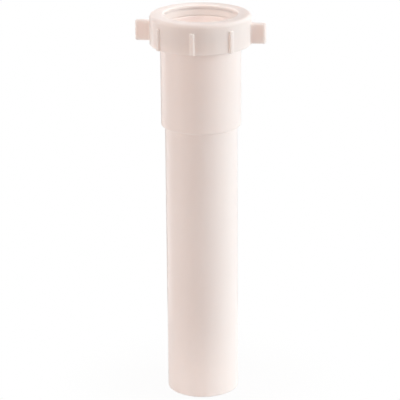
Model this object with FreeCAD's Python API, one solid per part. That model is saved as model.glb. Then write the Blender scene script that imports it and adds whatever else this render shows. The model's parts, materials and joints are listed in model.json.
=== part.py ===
import FreeCAD, Part
import math
import os

# Slip-joint tail pipe for a basin waste, with its winged slip nut and bevelled washer.
# Millimetres. +Z runs up the pipe's axis and the origin is the centre of the cut tail end.
# The nut stands screwed down on the bell, with its two wings along X.

# Tail: the plain lower tube, which slides into the fitting below
tail_od = 38.1
tail_wall = 1.6
tail_bevel = 0.5

# Bell: the socket at the top, moulded in one with the tail
pipe_length = 203.2
slip_clearance = 0.3
bell_wall = 1.7
socket_depth = 53.4
shoulder_floor = 2.0
shoulder_round = 1.3
stop_bevel = 0.5
seat_width = 1.8

# Thread between bell and nut: the solids carry its pitch cylinders, and its turns are fine detail
collar_step = 1.25
thread_pitch = 2.209
thread_turn_count = 4.25
thread_depth = 1.2
thread_gap = 0.25
thread_lead = 0.8

# Washer: flat back under the nut's lip, bevelled nose in the bell's mouth
washer_thickness = 2.2
washer_pipe_gap = 0.3
washer_thread_gap = 0.3
washer_nose_land = 0.35
washer_seat_gap = 0.28

# Nut: skirt, inward lip, ribs and two wings in one moulding
skirt_wall = 2.75
nut_height = 15.9
lip_thickness = 2.2
lip_pipe_gap = 0.3
lip_bevel = 0.8
nut_top_round = 1.9
nut_foot_bevel = 0.4
relief_height = 3.0
rim_band = 4.4
grip_count = 8
wing_count = 2
rib_proud = 1.1
rib_root_width = 2.8
rib_crest_width = 2.0
rib_crest_round = 0.3
wing_reach = 7.8
wing_root_width = 4.2
wing_tip_width = 3.8
wing_tip_round = 1.2
wing_foot_gap = 1.05
wing_root_fillet = 1.2

# Radii and heights that follow from the sizes above
tail_radius = tail_od / 2
waterway_radius = tail_radius - tail_wall
socket_radius = tail_radius + slip_clearance
bell_radius = socket_radius + bell_wall
stop_z = pipe_length - socket_depth
shoulder_z = stop_z - shoulder_floor

collar_radius = bell_radius + collar_step + thread_depth / 2
collar_z = pipe_length - thread_turn_count * thread_pitch
nut_bore_radius = collar_radius + thread_gap
nut_crest_radius = nut_bore_radius - thread_depth / 2
relief_radius = nut_bore_radius + thread_depth / 2
nut_radius = relief_radius + skirt_wall

washer_top_z = pipe_length + washer_thickness
nut_top_z = washer_top_z + lip_thickness
nut_foot_z = nut_top_z - nut_height
grip_top_z = nut_top_z - rim_band
relief_z = washer_top_z - relief_height

axis_point = FreeCAD.Vector(0, 0, 0)
axis_up = FreeCAD.Vector(0, 0, 1)
full_turn = 360
same_point = 1e-5


def face_through(points, rounds):
    """Closed flat face through the points; a corner with a rounding above 0 becomes a tangent arc."""
    spans = []
    for index, (here, rounding) in enumerate(zip(points, rounds)):
        if not rounding:
            spans.append((here, None, here))
            continue
        to_last = (points[index - 1] - here).normalize()
        to_next = (points[(index + 1) % len(points)] - here).normalize()
        half_angle = to_last.getAngle(to_next) / 2
        setback = rounding / math.tan(half_angle)
        inward = (to_last + to_next).normalize()
        crown = here + inward * (rounding / math.sin(half_angle) - rounding)
        spans.append((here + to_last * setback, crown, here + to_next * setback))
    edges = []
    for index, (arrive, crown, leave) in enumerate(spans):
        if crown is not None:
            edges.append(Part.Arc(arrive, crown, leave).toShape())
        edges.append(Part.LineSegment(leave, spans[(index + 1) % len(spans)][0]).toShape())
    return Part.Face(Part.Wire(edges))


def turned(corners):
    """A section of (radius, height) or (radius, height, rounding) corners, spun round the pipe's axis."""
    points = [FreeCAD.Vector(corner[0], 0, corner[1]) for corner in corners]
    rounds = [corner[2] if len(corner) > 2 else 0 for corner in corners]
    return face_through(points, rounds).revolve(axis_point, axis_up, full_turn)


def fin(root_radius, tip_radius, root_width, tip_width, tip_round, foot_z, top_z):
    """A tapering radial plate along +X: its plan, with rounded outer corners, made tall along Z."""
    plan = [(root_radius, -root_width), (tip_radius, -tip_width),
            (tip_radius, tip_width), (root_radius, root_width)]
    points = [FreeCAD.Vector(radius, width / 2, foot_z) for radius, width in plan]
    return face_through(points, [0, tip_round, tip_round, 0]).extrude(axis_up * (top_z - foot_z))


def at_grip(shape, place):
    """A copy of the shape, turned round the axis to one of the nut's grip places."""
    copy = shape.copy()
    copy.rotate(axis_point, axis_up, full_turn / grip_count * place)
    return copy


def root_edges(nut):
    """The upright edges where the wings' flanks leave the skirt."""
    found = []
    for edge in nut.Edges:
        first, last = edge.Vertexes[0].Point, edge.Vertexes[-1].Point
        upright = math.hypot(first.x - last.x, first.y - last.y) < same_point
        on_skirt = abs(math.hypot(first.x, first.y) - nut_radius) < same_point
        if upright and on_skirt and abs(first.y) > wing_tip_width / 2:
            found.append(edge)
    return found


def make_tail_pipe():
    """Tail, shoulder, socket and collar as one turned wall; the socket's floor is the pipe stop."""
    return turned([
        (waterway_radius, 0),
        (tail_radius - tail_bevel, 0),
        (tail_radius, tail_bevel),
        (tail_radius, shoulder_z),
        (bell_radius, shoulder_z, shoulder_round),
        (bell_radius, collar_z),
        (collar_radius, collar_z),
        (collar_radius, pipe_length - thread_lead),
        (collar_radius - thread_lead, pipe_length),
        (socket_radius + seat_width, pipe_length),
        (socket_radius, pipe_length - seat_width),
        (socket_radius, stop_z),
        (waterway_radius + stop_bevel, stop_z),
        (waterway_radius, stop_z - stop_bevel),
    ])


def make_slip_washer():
    """A flat ring that lies on the bell's rim, with a nose that follows the bevel in its mouth."""
    hole_radius = tail_radius + washer_pipe_gap
    nose_radius = hole_radius + washer_nose_land
    bevel_radius = socket_radius + seat_width - washer_seat_gap
    rim_radius = nut_crest_radius - washer_thread_gap
    nose_z = pipe_length - (bevel_radius - nose_radius)
    return turned([
        (hole_radius, nose_z),
        (nose_radius, nose_z),
        (bevel_radius, pipe_length),
        (rim_radius, pipe_length),
        (rim_radius, washer_top_z),
        (hole_radius, washer_top_z),
    ])


def make_slip_nut():
    """Turned skirt and lip, a wing at each opposite grip place, and a rib at every other one."""
    opening_radius = tail_radius + lip_pipe_gap
    skirt = turned([
        (nut_bore_radius + thread_lead, nut_foot_z),
        (nut_radius - nut_foot_bevel, nut_foot_z),
        (nut_radius, nut_foot_z + nut_foot_bevel),
        (nut_radius, nut_top_z, nut_top_round),
        (opening_radius + lip_bevel, nut_top_z),
        (opening_radius, nut_top_z - lip_bevel),
        (opening_radius, washer_top_z),
        (relief_radius, washer_top_z),
        (relief_radius, relief_z),
        (nut_bore_radius, relief_z - (relief_radius - nut_bore_radius)),
        (nut_bore_radius, nut_foot_z + thread_lead),
    ])
    fin_root = relief_radius + skirt_wall / 2
    wing = fin(fin_root, nut_radius + wing_reach, wing_root_width, wing_tip_width, wing_tip_round,
               nut_foot_z + wing_foot_gap, grip_top_z)
    rib = fin(fin_root, nut_radius + rib_proud, rib_root_width, rib_crest_width, rib_crest_round,
              nut_foot_z, grip_top_z)
    wing_step = grip_count // wing_count
    wings = [at_grip(wing, place) for place in range(0, grip_count, wing_step)]
    ribs = [at_grip(rib, place) for place in range(grip_count) if place % wing_step]
    nut = skirt.fuse(wings)
    nut = nut.makeFillet(wing_root_fillet, root_edges(nut))
    return nut.fuse(ribs)


def write_step(name, shape):
    """Writes one piece under its own name."""
    shape.exportStep(os.path.join("parts", name + ".step"))
    print(name, "solids", len(shape.Solids), "volume", round(shape.Volume, 1), "valid", shape.isValid())


os.makedirs("parts", exist_ok=True)
write_step("tail_pipe", make_tail_pipe())
write_step("slip_washer", make_slip_washer())
write_step("slip_nut", make_slip_nut())
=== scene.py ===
import json
import math

import bpy
import numpy as np
from mathutils import Matrix, Vector


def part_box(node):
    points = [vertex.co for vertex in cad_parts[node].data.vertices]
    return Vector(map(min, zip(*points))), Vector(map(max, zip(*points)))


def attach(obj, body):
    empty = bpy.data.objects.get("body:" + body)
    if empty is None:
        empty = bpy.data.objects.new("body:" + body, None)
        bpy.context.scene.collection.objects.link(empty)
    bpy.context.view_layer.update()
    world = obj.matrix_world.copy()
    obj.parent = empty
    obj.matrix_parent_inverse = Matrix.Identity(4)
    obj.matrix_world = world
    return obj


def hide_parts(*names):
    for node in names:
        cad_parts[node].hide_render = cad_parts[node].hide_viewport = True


# Looks of a slip-joint tail pipe: dense moulded surfaces, warm white plastic, soft light from the right.
# Everything is in metres, in the frame's own axes: +Z up the pipe, +X along the nut's wings.

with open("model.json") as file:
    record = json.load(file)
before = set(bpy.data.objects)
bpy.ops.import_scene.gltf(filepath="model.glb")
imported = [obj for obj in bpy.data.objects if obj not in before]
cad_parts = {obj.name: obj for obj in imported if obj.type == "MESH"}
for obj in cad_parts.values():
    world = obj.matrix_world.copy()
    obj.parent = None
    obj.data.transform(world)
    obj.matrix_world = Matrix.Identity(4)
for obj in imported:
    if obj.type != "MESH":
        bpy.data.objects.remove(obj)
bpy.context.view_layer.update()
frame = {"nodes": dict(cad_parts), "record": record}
record = frame["record"]
mountSizes = {mount["name"]: mount["dims"] for mount in record["mounts"]}
pipeLow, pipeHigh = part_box("tail_pipe")
washerLow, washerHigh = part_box("slip_washer")
nutLow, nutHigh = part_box("slip_nut")
print("frame loaded:", sorted(frame["nodes"]))

mm = 0.001
fullTurn = 2 * math.pi
tailRadius = mountSizes["tail_spigot"]["r_mm"] * mm
socketRadius = mountSizes["pipe_socket"]["r_mm"] * mm
pitch = record["behaviour"]["couplings"][0]["ratio"] * fullTurn  # the nut's lift in one turn

# Shared by all meshes: guard rows near the ends of straight runs, and the angle from which an edge is sharp
meshRules = dict(guard=0.2 * mm, guardShare=0.25, sharpDegrees=50, samePlace=1e-7)

# Section of the screw thread, aside from the ridge's middle in pitches, and the fade of its ends in turns
threadForm = dict(crestHalf=0.125, flankFoot=0.375, endFade=0.1)


def easeStep(low, high, x):
    # 0 below low, 1 above high, and the cubic 3t^2 - 2t^3 of the share t between them
    t = np.clip((x - low) / (high - low), 0, 1)
    return t * t * (3 - 2 * t)


def sweepArc(centre, start, end, steps):
    # points on the shorter arc round centre: the two spokes are mixed by the sine of the angle left and the
    # sine of the angle gone, over the sine of the whole turn
    first, last = start - centre, end - centre
    cosine = first @ last / (np.linalg.norm(first) * np.linalg.norm(last))
    turn = math.acos(min(1, max(-1, cosine)))
    gone = np.linspace(0, 1, steps + 1)[:, None]
    return centre + (np.sin(turn * (1 - gone)) * first + np.sin(turn * gone) * last) / math.sin(turn)


def straightRun(start, end, rows):
    # points from start to end, evenly spaced, with one more close to each end so that flat walls shade flat
    length = np.linalg.norm(end - start)
    near = min(meshRules["guard"] / length, meshRules["guardShare"])
    share = np.concatenate([[0, near], np.linspace(0, 1, rows + 1)[1:-1], [1 - near, 1]])
    return start + np.sort(share)[:, None] * (end - start)


def roundedRun(corners, arcSteps, closed=True):
    # Section line through (radius, height, rounding, rows) corners. A rounding turns its corner into an
    # arc that touches both sides: its centre lies rounding / sin(half the corner's angle) along the
    # bisector. rows divides the straight run that leaves the corner.
    points = np.array([corner[:2] for corner in corners], float)
    spans = []
    for index, corner in enumerate(corners):
        here, rounding = points[index], corner[2]
        if not rounding:
            spans.append(here[None])
            continue
        toLast = points[index - 1] - here
        toNext = points[(index + 1) % len(points)] - here
        toLast, toNext = toLast / np.linalg.norm(toLast), toNext / np.linalg.norm(toNext)
        half = math.acos(toLast @ toNext) / 2
        bisector = (toLast + toNext) / np.linalg.norm(toLast + toNext)
        centre = here + bisector * rounding / math.sin(half)
        setback = rounding / math.tan(half)
        spans.append(sweepArc(centre, here + toLast * setback, here + toNext * setback, arcSteps))
    pieces = []
    runs = len(corners) if closed else len(corners) - 1
    for index in range(runs):
        nextSpan = spans[(index + 1) % len(spans)]
        pieces.append(spans[index][:-1])
        pieces.append(straightRun(spans[index][-1], nextSpan[0], corners[index][3])[:-1])
    if not closed:
        pieces.append(spans[-1])
    return np.concatenate(pieces)


def helicalRidge(height, angle, startHeight, firstTurn, lastTurn):
    # Screw ridge, 1 on its crest and 0 at its root. phase counts pitches above a helix from startHeight:
    # its whole part is the turn, and its remainder tells how far the point lies from the ridge's middle.
    # Crest and root are flat, the flanks are eased, and the ridge rises and dies away at its two ends.
    phase = (height - startHeight) / pitch - angle / fullTurn
    aside = np.abs(phase - np.round(phase))
    along = np.round(phase) + angle / fullTurn
    fade = threadForm["endFade"]
    ends = easeStep(firstTurn, firstTurn + fade, along) * (1 - easeStep(lastTurn - fade, lastTurn, along))
    return (1 - easeStep(threadForm["crestHalf"], threadForm["flankFoot"], aside)) * ends


def ringMesh(name, plan, height):
    # Closed grid: rows go up the outside and down the inside, columns go round the axis, both ends meet.
    # plan holds each point's place across the axis as a complex number x + iy, so a turn is a product.
    plan, height = np.broadcast_arrays(plan, height)
    rows, columns = plan.shape
    points = np.stack([plan.real, plan.imag, height], -1).reshape(-1, 3)
    corner = np.arange(rows * columns).reshape(rows, columns)
    aside, above = np.roll(corner, -1, 1), np.roll(corner, -1, 0)
    quads = np.stack([corner, aside, np.roll(above, -1, 1), above], -1).reshape(-1, 4)
    mesh = bpy.data.meshes.new(name)
    mesh.vertices.add(len(points))
    mesh.vertices.foreach_set("co", points.astype(np.float32).ravel())
    mesh.loops.add(quads.size)
    mesh.loops.foreach_set("vertex_index", quads.astype(np.int32).ravel())
    mesh.polygons.add(len(quads))
    mesh.polygons.foreach_set("loop_start", np.arange(0, quads.size, 4, dtype=np.int32))
    mesh.polygons.foreach_set("use_smooth", np.ones(len(quads), bool))
    mesh.update(calc_edges=True)
    mesh.set_sharp_from_angle(angle=math.radians(meshRules["sharpDegrees"]))
    piece = bpy.data.objects.new(name, mesh)
    bpy.context.scene.collection.objects.link(piece)
    print(name, "triangles", 2 * len(quads))
    return piece


def evenTurn(columns):
    # angles of evenly spaced columns, once round
    return np.linspace(0, fullTurn, columns, endpoint=False)[None]


# Tail pipe: one moulding, tail below, bell above, thread round the mouth
pipeSizes = dict(
    tailWall=1.6 * mm,
    bellWall=1.7 * mm,
    socketDepth=53.4 * mm,
    shoulderFloor=2.0 * mm,
    shoulderRound=1.3 * mm,
    shoulderFillet=0.4 * mm,
    tailEdgeRound=0.5 * mm,
    innerEdgeRound=0.3 * mm,
    stopRound=0.5 * mm,
    seatWidth=1.8 * mm,
    rimRound=0.2 * mm,
    threadTurns=4.25,  # the collar's height in pitches
    threadDepth=1.2 * mm,
    threadLead=0.8 * mm,
    ridgeFoot=0.5,  # pitches from the collar's foot up to the ridge's start
    ridgeTurns=3.75,
    tailRows=40,
    bellRows=16,
    collarRows=84,
    arcSteps=6,
    columns=256,
)
pipeTop = pipeHigh.z
collarRadius = pipeHigh.x
collarFoot = pipeTop - pipeSizes["threadTurns"] * pitch
threadRoot = collarRadius - pipeSizes["threadDepth"] / 2
threadStart = collarFoot + pipeSizes["ridgeFoot"] * pitch  # where the ridge's helix crosses angle 0


def makeTailPipe(size):
    # Section of the whole wall, spun round the axis. On the collar the radius is the thread's root plus the
    # screw ridge times its depth, and no more than the bevel at the mouth leaves.
    waterway = tailRadius - size["tailWall"]
    bell = socketRadius + size["bellWall"]
    stopZ = pipeTop - size["socketDepth"]
    shoulderZ = stopZ - size["shoulderFloor"]
    rim = collarRadius - size["threadLead"]
    line = roundedRun([
        (waterway, pipeLow.z, size["innerEdgeRound"], 2),
        (tailRadius, pipeLow.z, size["tailEdgeRound"], size["tailRows"]),
        (tailRadius, shoulderZ, size["shoulderFillet"], 1),
        (bell, shoulderZ, size["shoulderRound"], size["bellRows"]),
        (bell, collarFoot, size["shoulderFillet"], 1),
        (threadRoot, collarFoot, size["rimRound"], size["collarRows"]),
        (threadRoot, pipeTop - (threadRoot - rim), 0, 1),
        (rim, pipeTop, 0, 2),
        (socketRadius + size["seatWidth"], pipeTop, size["rimRound"], 3),
        (socketRadius, pipeTop - size["seatWidth"], size["rimRound"], size["bellRows"]),
        (socketRadius, stopZ, size["rimRound"], 2),
        (waterway, stopZ, size["stopRound"], size["tailRows"]),
    ], size["arcSteps"])
    radius, height = line[:, :1], line[:, 1:]
    angle = evenTurn(size["columns"])
    onCollar = (np.abs(radius - threadRoot) < meshRules["samePlace"]) & (height > collarFoot)
    ridge = helicalRidge(height, angle, threadStart, 0, size["ridgeTurns"])
    threaded = radius + size["threadDepth"] * ridge * onCollar
    lead = rim + (pipeTop - height)  # the bevel that cuts the thread's crest at the mouth
    radius = np.where(onCollar, np.minimum(threaded, lead), radius + 0 * angle)
    return ringMesh("tailPipeMoulding", radius * np.exp(1j * angle), height)


# Washer: flat back, bevelled nose
washerSizes = dict(
    noseLand=0.35 * mm,
    seatGap=0.28 * mm,
    edgeRound=0.25 * mm,
    noseRound=0.12 * mm,
    arcSteps=6,
    columns=192,
)


def makeSlipWasher(size):
    # section of the ring, spun round the axis
    hole = socketRadius
    bevel = socketRadius + pipeSizes["seatWidth"] - size["seatGap"]
    line = roundedRun([
        (hole, washerLow.z, size["noseRound"], 1),
        (hole + size["noseLand"], washerLow.z, size["noseRound"], 2),
        (bevel, pipeTop, size["noseRound"], 1),
        (washerHigh.x, pipeTop, size["edgeRound"], 2),
        (washerHigh.x, washerHigh.z, size["edgeRound"], 3),
        (hole, washerHigh.z, size["noseRound"], 3),
    ], size["arcSteps"])
    return ringMesh("slipWasherRing", line[:, :1] * np.exp(1j * evenTurn(size["columns"])), line[:, 1:])


# Nut: skirt, lip, six ribs and two wings in one moulding
nutSizes = dict(
    skirtWall=2.75 * mm,
    ribProud=1.1 * mm,
    rimBand=4.4 * mm,
    topRound=1.9 * mm,
    footRound=0.4 * mm,
    lipRound=0.6 * mm,
    lipFootRound=0.1 * mm,
    reliefHeight=3.0 * mm,
    footLead=0.2 * mm,
    ridgeBelow=0.5,  # pitches from the pipe's ridge down to the nut's
    ridgeFirst=-0.1,  # first and last turn of the nut's ridge
    ridgeLast=4.0,
    gripPlaces=8,
    wingPlaces=(0, 4),
    wingFootGap=1.05 * mm,
    finFade=0.2 * mm,  # a column this far off the skirt is wholly rib or wing
    gapColumns=18,
    edgeRows=7,
    wallRows=12,
    boreRows=64,
    soleRows=6,
    arcSteps=8,
)
ribPlan = dict(
    rootHalf=1.4 * mm,
    tipHalf=1.0 * mm,
    tipRound=0.5 * mm,
    rootFillet=0.4 * mm,
    edgeRound=0.4 * mm,
    flankSteps=2,
    crestSteps=2,
    arcSteps=4,
)
wingPlan = dict(
    rootHalf=2.1 * mm,
    tipHalf=1.9 * mm,
    tipRound=1.2 * mm,
    rootFillet=1.2 * mm,
    edgeRound=0.7 * mm,
    flankSteps=10,
    crestSteps=2,
    arcSteps=7,
)
nutRadius = nutHigh.y - nutSizes["ribProud"]


def finOutline(plan, tip, size):
    # Plan of a radial plate along +X: from the skirt's circle an inward-curved root fillet, a tapering
    # flank, a rounded corner and half the flat tip, then the same mirrored. The fillet's centre lies one
    # fillet radius off the flank and off the circle. The second result is the inward normal times the edge's
    # rounding, fading to 0 on the circle: along it the plate's upper and lower edges are rounded.
    widthPoint = nutRadius - size["skirtWall"] / 2  # the radius at which the root's width is given
    foot, head = np.array([widthPoint, plan["rootHalf"]]), np.array([tip, plan["tipHalf"]])
    along = (head - foot) / np.linalg.norm(head - foot)
    outward = np.array([-along[1], along[0]])
    fillet, steps = plan["rootFillet"], plan["arcSteps"]
    offset = foot + outward * fillet
    start = offset @ along
    reach = -start + math.sqrt(start ** 2 - offset @ offset + (nutRadius + fillet) ** 2)
    centre = offset + along * reach
    root = sweepArc(centre, centre * nutRadius / (nutRadius + fillet), centre - outward * fillet, steps)
    across = np.array([0, -1])  # along the flat tip, towards its middle
    half = math.acos(-along @ across) / 2
    setback = plan["tipRound"] / math.tan(half)
    bisector = across - along
    cornerCentre = head + bisector / np.linalg.norm(bisector) * plan["tipRound"] / math.sin(half)
    corner = sweepArc(cornerCentre, head - along * setback, head + across * setback, steps)
    flank = straightRun(root[-1], corner[0], plan["flankSteps"])[1:-1]
    crest = straightRun(corner[-1], np.array([tip, 0.0]), plan["crestSteps"])[1:]
    halfPlan = np.concatenate([root, flank, corner, crest]) @ [1, 1j]
    plate = np.concatenate([halfPlan.conj(), halfPlan[-2::-1]])
    stride = np.diff(plate) / np.abs(np.diff(plate))
    forward = np.concatenate([stride[:1], stride[:-1] + stride[1:], stride[-1:]])
    inward = 1j * forward / np.abs(forward)
    return plate, inward * plan["edgeRound"] * easeStep(0, plan["edgeRound"], np.abs(plate) - nutRadius)


def gripColumns(size):
    # Plan points once round the nut, the inset that rounds their edges, and which of them are on a wing:
    # each grip place brings its own outline, and even steps fill the skirt between two places.
    outlines = {"rib": finOutline(ribPlan, nutHigh.y, size), "wing": finOutline(wingPlan, nutHigh.x, size)}
    kinds = ["wing" if place in size["wingPlaces"] else "rib" for place in range(size["gripPlaces"])]
    step = fullTurn / size["gripPlaces"]
    plans, insets, onWing = [], [], []
    for place, kind in enumerate(kinds):
        plate, inset = outlines[kind]
        nextPlate = outlines[kinds[(place + 1) % size["gripPlaces"]]][0]
        between = np.linspace(np.angle(plate[-1]), np.angle(nextPlate[0]) + step, size["gapColumns"] + 2)
        skirt = nutRadius * np.exp(1j * between[1:-1])
        turn = np.exp(1j * step * place)
        plans.append(np.concatenate([plate, skirt]) * turn)
        insets.append(np.concatenate([inset, 0 * skirt]) * turn)
        onWing.append(np.full(len(plate) + len(skirt), kind == "wing"))
    return tuple(np.concatenate(part)[None] for part in (plans, insets, onWing))


def makeSlipNut(size):
    # Rows in order: foot corner, wing's underside, grip wall, top faces of wings and ribs, rim and lip,
    # thread, sole. A rounded edge follows a quarter turn q: the outline is inset by 1 - cos q and the height
    # drops by 1 - sin q, each times the edge's rounding. Where a column has no fin, these rows spread along
    # the plain skirt.
    plan, inset, onWing = gripColumns(size)
    spoke = (plan + inset) / np.abs(plan + inset)  # straight out from the axis, for the turned rows
    foot, top = nutLow.z, nutHigh.z
    wingFoot, gripTop = foot + size["wingFootGap"], top - size["rimBand"]
    wingEdge, ribEdge = wingPlan["edgeRound"], ribPlan["edgeRound"]
    edge = np.where(onWing, wingEdge, ribEdge)
    around = 0 * edge  # added to a column of heights, it carries them round the nut
    standing = easeStep(0, size["finFade"], np.abs(plan) - nutRadius)  # 1 on ribs and wings, 0 on the skirt
    share = np.linspace(0, 1, size["edgeRows"])[:, None]
    quarter = np.linspace(0, math.pi / 2, size["edgeRows"])[:, None]

    low = np.where(onWing, nutRadius * spoke, plan)  # outline of the foot, with no wings
    footPlan = low - size["footRound"] * (1 - np.sin(quarter)) * spoke
    footHeight = foot + size["footRound"] * (1 - np.cos(quarter)) + around

    wingOnly = np.where(onWing, inset, 0)
    underFace = low + (plan + wingOnly - low) * share[:-1]  # from the skirt out along the wing's underside
    underPlan = np.concatenate([underFace, plan + wingOnly * (1 - np.sin(quarter))])
    underRise = np.concatenate([0 * share[:-1], wingEdge * (1 - np.cos(quarter))])
    underShape = wingFoot + underRise + around
    underPlain = np.linspace(wingFoot, wingFoot + wingEdge, len(underShape))[:, None]
    underHeight = underPlain + (underShape - underPlain) * standing * onWing

    wallHeight = np.linspace(wingFoot + wingEdge, gripTop - wingEdge, size["wallRows"])[1:-1, None] + around
    wallPlan = plan + 0 * wallHeight

    circle = nutRadius * spoke
    overFace = circle + (plan + inset - circle) * share[::-1][1:]  # from the tip in along the top face
    overPlan = np.concatenate([plan + inset * (1 - np.cos(quarter)), overFace])
    overShape = np.concatenate([gripTop - edge * (1 - np.sin(quarter)), gripTop + 0 * share[1:] + around])
    overPlain = np.linspace(gripTop - wingEdge, gripTop, len(overShape))[:, None]
    overHeight = overPlain + (overShape - overPlain) * standing

    major = nutRadius - size["skirtWall"]
    lipFoot = washerHigh.z
    threadTop = lipFoot - size["reliefHeight"]
    cap = roundedRun([
        (nutRadius, gripTop, 0, 5),
        (nutRadius, top, size["topRound"], 6),
        (socketRadius, top, size["lipRound"], 2),
        (socketRadius, lipFoot, size["lipFootRound"], 4),
        (major, lipFoot, size["lipFootRound"], 4),
        (major, threadTop, 0, 0),
    ], size["arcSteps"], closed=False)[1:]
    capPlan, capHeight = cap[:, :1] * spoke, cap[:, 1:] + around

    boreHeight = np.linspace(threadTop, foot, size["boreRows"])[1:, None] + around
    nutStart = threadStart - size["ridgeBelow"] * pitch
    ridge = helicalRidge(boreHeight, np.angle(spoke), nutStart, size["ridgeFirst"], size["ridgeLast"])
    lead = major + size["footLead"] - (boreHeight - foot)  # the bevel that opens the nut's foot
    boreRadius = np.maximum(major - pipeSizes["threadDepth"] * ridge, lead)

    soleShare = np.linspace(0, 1, size["soleRows"])[1:-1, None]
    soleInner, soleOuter = boreRadius[-1:] * spoke, low - size["footRound"] * spoke
    solePlan = soleInner + (soleOuter - soleInner) * soleShare
    soleHeight = foot + 0 * soleShare + around

    plans = [footPlan, underPlan, wallPlan, overPlan, capPlan, boreRadius * spoke, solePlan]
    heights = [footHeight, underHeight, wallHeight, overHeight, capHeight, boreHeight, soleHeight]
    return ringMesh("slipNutMoulding", np.concatenate(plans), np.concatenate(heights))


class Wire:
    # a socket of a node tree; sums, differences and products of wires and numbers add Math nodes
    def __init__(self, tree, socket=None):
        self.tree, self.socket = tree, socket

    def node(self, kind, settings=None, sockets=None, out=0):
        # adds one node: its settings first, then the values or links of its sockets
        made = self.tree.nodes.new(kind)
        for key, value in (settings or {}).items():
            setattr(made, key, value)
        for key, value in (sockets or {}).items():
            if isinstance(value, Wire):
                self.tree.links.new(value.socket, made.inputs[key])
            else:
                made.inputs[key].default_value = value
        return Wire(self.tree, made.outputs[out]) if len(made.outputs) else None

    def maths(self, operation, first, second):
        return self.node("ShaderNodeMath", {"operation": operation}, {0: first, 1: second})

    def __add__(self, other):
        return self.maths("ADD", self, other)

    def __radd__(self, other):
        return self.maths("ADD", other, self)

    def __sub__(self, other):
        return self.maths("SUBTRACT", self, other)

    def __rsub__(self, other):
        return self.maths("SUBTRACT", other, self)

    def __mul__(self, other):
        return self.maths("MULTIPLY", self, other)

    def __rmul__(self, other):
        return self.maths("MULTIPLY", other, self)


def newMaterial(name):
    material = bpy.data.materials.new(name)
    material.use_nodes = True
    material.node_tree.nodes.clear()
    return material, Wire(material.node_tree)


def noise(wire, coords, scale, detail, stretch=None):
    # noise from 0 to 1, about 0.5 on average; stretch scales the three axes apart
    if stretch:
        coords = wire.node("ShaderNodeMapping", {}, {"Vector": coords, "Scale": stretch})
    return wire.node("ShaderNodeTexNoise", {}, {"Vector": coords, "Scale": scale, "Detail": detail})


def mixColour(wire, factor, first, second):
    # of a colour mix, inputs 6 and 7 are the colours and output 2 is their mix
    return wire.node("ShaderNodeMix", {"data_type": "RGBA"}, {0: factor, 6: first, 7: second}, out=2)


# What the three plastics share
plasticRules = dict(
    cloudDetail=3.0,
    streakDetail=2.0,
    streakStretch=(1.0, 1.0, 0.06),  # long along the axis
    cloudShare=0.6,  # of the colour's tone; the streaks have the rest
    glossDetail=4.0,
    glossMiddle=0.5,
    reliefDetail=1.0,
    waveStretch=(1.0, 1.0, 0.35),
    refraction=1.49,
    depthRadius=(1.0, 0.92, 0.88),  # how far red, green and blue go into the wall
)


def moulded(name, look, rules=plasticRules):
    # Moulded plastic: slow cloudy tone and flow streaks along the axis in the colour, uneven gloss, and a
    # bump of orange peel over slow waves, in metres. The light goes a little way into the wall.
    material, wire = newMaterial(name)
    coords = wire.node("ShaderNodeTexCoord", out="Object")
    cloud = noise(wire, coords, look["cloudScale"], rules["cloudDetail"])
    streak = noise(wire, coords, look["streakScale"], rules["streakDetail"], rules["streakStretch"])
    tone = cloud * rules["cloudShare"] + streak * (1 - rules["cloudShare"])
    colour = mixColour(wire, tone, look["deep"], look["pale"])
    gloss = noise(wire, coords, look["glossScale"], rules["glossDetail"])
    peel = noise(wire, coords, look["peelScale"], rules["reliefDetail"])
    wave = noise(wire, coords, look["waveScale"], rules["reliefDetail"], rules["waveStretch"])
    relief = peel * look["peelDepth"] + wave * look["waveDepth"]
    normal = wire.node("ShaderNodeBump", {}, {"Strength": 1.0, "Distance": 1.0, "Height": relief})
    shader = wire.node("ShaderNodeBsdfPrincipled", {}, {
        "Base Color": colour,
        "Roughness": look["roughness"] + (gloss - rules["glossMiddle"]) * look["glossSpread"],
        "Normal": normal,
        "IOR": rules["refraction"],
        "Subsurface Weight": look["depth"],
        "Subsurface Radius": rules["depthRadius"],
        "Subsurface Scale": look["depthScale"],
    })
    wire.node("ShaderNodeOutputMaterial", {}, {"Surface": shader})
    return material


# Noise scales are per metre; peelDepth, waveDepth and depthScale are in metres, and depth is the share of
# the light that goes into the wall
pipeLook = dict(
    deep=(0.86, 0.79, 0.765, 1), pale=(0.94, 0.875, 0.85, 1), cloudScale=22.0, streakScale=160.0,
    roughness=0.34, glossSpread=0.1, glossScale=90.0,
    peelScale=900.0, peelDepth=0.000006, waveScale=70.0, waveDepth=0.00004,
    depth=0.5, depthScale=0.002,
)
nutLook = dict(
    deep=(0.865, 0.783, 0.753, 1), pale=(0.945, 0.868, 0.838, 1), cloudScale=40.0, streakScale=220.0,
    roughness=0.36, glossSpread=0.12, glossScale=140.0,
    peelScale=1100.0, peelDepth=0.000006, waveScale=110.0, waveDepth=0.00003,
    depth=0.8, depthScale=0.0038,
)
washerLook = dict(
    deep=(0.84, 0.79, 0.76, 1), pale=(0.92, 0.87, 0.84, 1), cloudScale=60.0, streakScale=300.0,
    roughness=0.5, glossSpread=0.1, glossScale=200.0,
    peelScale=1600.0, peelDepth=0.00001, waveScale=150.0, waveDepth=0.00002,
    depth=0.5, depthScale=0.002,
)


def dress(piece, body, node, material):
    # gives a piece its plastic and its place in the frame
    piece.data.materials.append(material)
    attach(piece, body)
    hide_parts(node)


dress(makeTailPipe(pipeSizes), "pipe", "tail_pipe", moulded("pipePlastic", pipeLook))
dress(makeSlipWasher(washerSizes), "washer", "slip_washer",
      moulded("washerPlastic", washerLook))
dress(makeSlipNut(nutSizes), "nut", "slip_nut", moulded("nutPlastic", nutLook))
print("pieces dressed")


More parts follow.
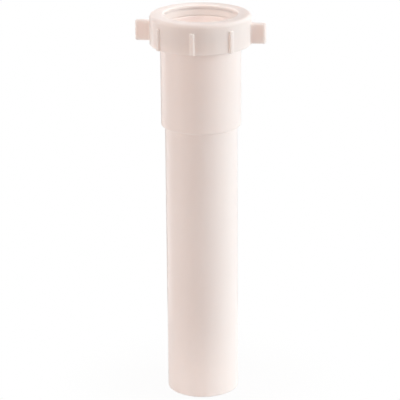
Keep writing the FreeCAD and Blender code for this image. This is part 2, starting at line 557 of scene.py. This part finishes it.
# Camera: stands in front, a little to the right of the wings' square view, and looks down on the mouth
view = dict(lens=185.9, sensor=36.0, azimuth=9.4, elevation=18.45, distance=1.09935,
            aimAside=-0.000982, aimHeight=0.10587, roll=0.4686, nearest=0.01, farthest=50)


def towards(azimuth, elevation):
    # unit vector from the object: azimuth 0 is -Y, 90 is +X
    turn, rise = math.radians(azimuth), math.radians(elevation)
    return Vector((math.sin(turn) * math.cos(rise), -math.cos(turn) * math.cos(rise), math.sin(rise)))


def placeCamera(view):
    # looks along -back; roll turns its right and its up round that line
    back = towards(view["azimuth"], view["elevation"])
    right = towards(view["azimuth"] + 90, 0)
    up = back.cross(right)
    roll = math.radians(view["roll"])
    tiltedRight = right * math.cos(roll) - up * math.sin(roll)
    tiltedUp = right * math.sin(roll) + up * math.cos(roll)
    data = bpy.data.cameras.new("frontView")
    data.lens, data.sensor_width = view["lens"], view["sensor"]
    data.clip_start, data.clip_end = view["nearest"], view["farthest"]
    camera = bpy.data.objects.new("frontView", data)
    place = right * view["aimAside"] + Vector((0, 0, view["aimHeight"])) + back * view["distance"]
    turn = Matrix((tiltedRight, tiltedUp, back)).transposed().to_4x4()
    camera.matrix_world = Matrix.Translation(place) @ turn
    bpy.context.scene.collection.objects.link(camera)
    bpy.context.scene.camera = camera


placeCamera(view)
print("camera placed")

# Lamps, by their azimuth from the camera's axis; level is what a white wall that faces the lamp renders at
lamps = dict(
    key=dict(azimuth=83, elevation=14, distance=1.6, size=(0.6, 0.9),
             level=0.685, colour=(0.9, 0.985, 1), gloss=False),
    fill=dict(azimuth=-36, elevation=6, distance=1.5, size=(0.9, 1.0),
              level=0.14, colour=(1, 0.72, 0.56), gloss=True),
    left=dict(azimuth=-75, elevation=6, distance=1.5, size=(0.6, 1.0),
              level=0.31, colour=(0.96, 0.94, 0.91), gloss=True),
    back=dict(azimuth=180, elevation=55, distance=1.5, size=(0.9, 0.6),
              level=0.29, colour=(1, 0.96, 0.94), gloss=False),
    top=dict(azimuth=0, elevation=85, distance=1.5, size=(0.6, 0.6),
             level=0.18, colour=(1, 0.99, 0.99), gloss=False),
)
mouthLamps = dict(
    mouthFront=dict(azimuth=0, level=0.6),
    mouthLeft=dict(azimuth=-60, level=0.5),
    mouthRight=dict(azimuth=60, level=0.47),
)
mouthBeam = dict(elevation=50, distance=1.3, reach=0.017, height=0.187, blend=0.8, softness=0.004,
                 colour=(1, 0.92, 0.885))
footLamp = dict(azimuth=-5, elevation=20, distance=1.2, reach=0.036, blend=1.0, softness=0.02,
                level=0.14, colour=(1, 0.96, 0.93))


def placeLight(data, place, aim, gloss):
    # stands at place and points its -Z at aim; with no gloss, reflections don't show it
    turn = (aim - place).to_track_quat("-Z", "Y").to_matrix().to_4x4()
    light = bpy.data.objects.new(data.name, data)
    light.matrix_world = Matrix.Translation(place) @ turn
    light.visible_camera = False
    light.visible_glossy = gloss
    bpy.context.scene.collection.objects.link(light)


def placeLamp(name, lamp):
    # soft rectangular lamp; the watts of a level are pi squared times the distance squared
    aim = Vector((0, 0, view["aimHeight"]))
    place = aim + towards(view["azimuth"] + lamp["azimuth"], lamp["elevation"]) * lamp["distance"]
    data = bpy.data.lights.new(name, "AREA")
    data.shape = "RECTANGLE"
    data.size, data.size_y = lamp["size"]
    data.energy = lamp["level"] * math.pi ** 2 * lamp["distance"] ** 2
    data.color = lamp["colour"]
    placeLight(data, place, aim, lamp["gloss"])


def placeSpot(name, aim, azimuth, lamp):
    # narrow lamp, its beam's radius is reach at the aim; the watts of a level are 4 times an area lamp's
    place = aim + towards(azimuth, lamp["elevation"]) * lamp["distance"]
    data = bpy.data.lights.new(name, "SPOT")
    data.spot_size = 2 * math.atan(lamp["reach"] / lamp["distance"])
    data.spot_blend = lamp["blend"]
    data.shadow_soft_size = lamp["softness"]
    data.energy = lamp["level"] * 4 * math.pi ** 2 * lamp["distance"] ** 2
    data.color = lamp["colour"]
    placeLight(data, place, aim, gloss=False)


def placeMouthLamp(name, lamp):
    # looks over the nut's rim into the mouth, at the socket's far wall
    azimuth = view["azimuth"] + lamp["azimuth"]
    aim = towards(azimuth + 180, 0) * socketRadius + Vector((0, 0, lamp["height"]))
    placeSpot(name, aim, azimuth, lamp)


def placeFootLamp(name, lamp):
    # soft light on the foot of the tail, for the light that a white table throws up there
    azimuth = view["azimuth"] + lamp["azimuth"]
    placeSpot(name, towards(azimuth, 0) * tailRadius, azimuth, lamp)


for lampName, lamp in lamps.items():
    placeLamp(lampName, lamp)
for lampName, lamp in mouthLamps.items():
    placeMouthLamp(lampName, {**mouthBeam, **lamp})
placeFootLamp("foot", footLamp)
print("lamps placed")

# World: a warm even light, and white where it is seen
skyColours = dict(ambient=(0.455, 0.382, 0.358, 1), seen=(1, 1, 1, 1))


def seenDirectly(wire):
    # 1 for rays that show the background itself: from the camera, in a reflection, or through the material
    fromCamera = wire.node("ShaderNodeLightPath", out="Is Camera Ray")
    reflected = wire.node("ShaderNodeLightPath", out="Is Glossy Ray")
    through = wire.node("ShaderNodeLightPath", out="Is Transmission Ray")
    return wire.maths("MINIMUM", fromCamera + reflected + through, 1.0)


def makeWorld(colours):
    world = bpy.data.worlds.new("studio")
    world.use_nodes = True
    world.node_tree.nodes.clear()
    wire = Wire(world.node_tree)
    colour = mixColour(wire, seenDirectly(wire), colours["ambient"], colours["seen"])
    sky = wire.node("ShaderNodeBackground", {}, {"Color": colour, "Strength": 1.0})
    wire.node("ShaderNodeOutputWorld", {}, {"Surface": sky})
    bpy.context.scene.world = world


makeWorld(skyColours)

# Floor: pale board, grey from boardFar on. Seen directly it glows white, a little less within glowFull of
# the axis, so that a faint shadow stays round the pipe's foot
floorSizes = dict(
    half=6.0,
    pale=(0.74, 0.74, 0.74, 1),
    grey=(0.2, 0.2, 0.2, 1),
    boardNear=0.5,
    boardFar=1.2,
    glow=(1, 1, 1, 1),
    glowNear=0.94,
    glowFirst=0.02,
    glowFull=0.09,
)


def flatMesh(name, across, upward, centre):
    # rectangle centre +- across +- upward
    low, high = centre - upward, centre + upward
    points = [low - across, low + across, high + across, high - across]
    mesh = bpy.data.meshes.new(name)
    mesh.from_pydata([tuple(point) for point in points], [], [(0, 1, 2, 3)])
    piece = bpy.data.objects.new(name, mesh)
    bpy.context.scene.collection.objects.link(piece)
    return piece


def smoothRange(wire, value, low, high, first, last):
    # first below low, last above high, smooth between
    return wire.node("ShaderNodeMapRange", {"interpolation_type": "SMOOTHSTEP"}, {
        "Value": value, "From Min": low, "From Max": high, "To Min": first, "To Max": last})


def makeFloor(size):
    floor = flatMesh("floor", Vector((size["half"], 0, 0)), Vector((0, size["half"], 0)), Vector((0, 0, 0)))
    material, wire = newMaterial("floorBoard")
    coords = wire.node("ShaderNodeTexCoord", out="Object")
    away = wire.node("ShaderNodeVectorMath", {"operation": "LENGTH"}, {0: coords}, out="Value")
    spread = smoothRange(wire, away, size["glowFirst"], size["glowFull"], size["glowNear"], 1.0)
    edge = smoothRange(wire, away, size["boardNear"], size["boardFar"], 0.0, 1.0)
    colour = mixColour(wire, edge, size["pale"], size["grey"])
    board = wire.node("ShaderNodeBsdfDiffuse", {}, {"Color": colour})
    glow = wire.node("ShaderNodeEmission", {}, {"Color": size["glow"], "Strength": 1.0})
    shader = wire.node("ShaderNodeMixShader", {}, {0: spread * seenDirectly(wire), 1: board, 2: glow})
    wire.node("ShaderNodeOutputMaterial", {}, {"Surface": shader})
    floor.data.materials.append(material)


makeFloor(floorSizes)

# Cards that only reflections see: the dark ones draw the thin lines along the outline, the bright strip the
# light line beside the left one
cards = dict(
    leftCard=dict(azimuth=-163, distance=0.12, width=0.075, height=0.2, shade=0.05),
    leftStrip=dict(azimuth=-127, distance=0.12, width=0.036, height=0.2, shade=2.2),
    rightCard=dict(azimuth=163, distance=0.12, width=0.075, height=0.3, shade=0.3),
)


def makeCard(name, card):
    out = towards(view["azimuth"] + card["azimuth"], 0)
    side = out.cross(Vector((0, 0, 1)))
    halfHeight = Vector((0, 0, card["height"] / 2))
    board = flatMesh(name, side * card["width"] / 2, halfHeight, out * card["distance"] + halfHeight)
    material, wire = newMaterial(name + "Shade")
    colour = (card["shade"], card["shade"], card["shade"], 1)
    shade = wire.node("ShaderNodeEmission", {}, {"Color": colour, "Strength": 1.0})
    wire.node("ShaderNodeOutputMaterial", {}, {"Surface": shade})
    board.data.materials.append(material)
    board.visible_camera = False
    board.visible_diffuse = False
    board.visible_transmission = False
    board.visible_shadow = False


for cardName, card in cards.items():
    makeCard(cardName, card)
bpy.context.scene.view_settings.view_transform = "Standard"
print("world, floor and cards in place")
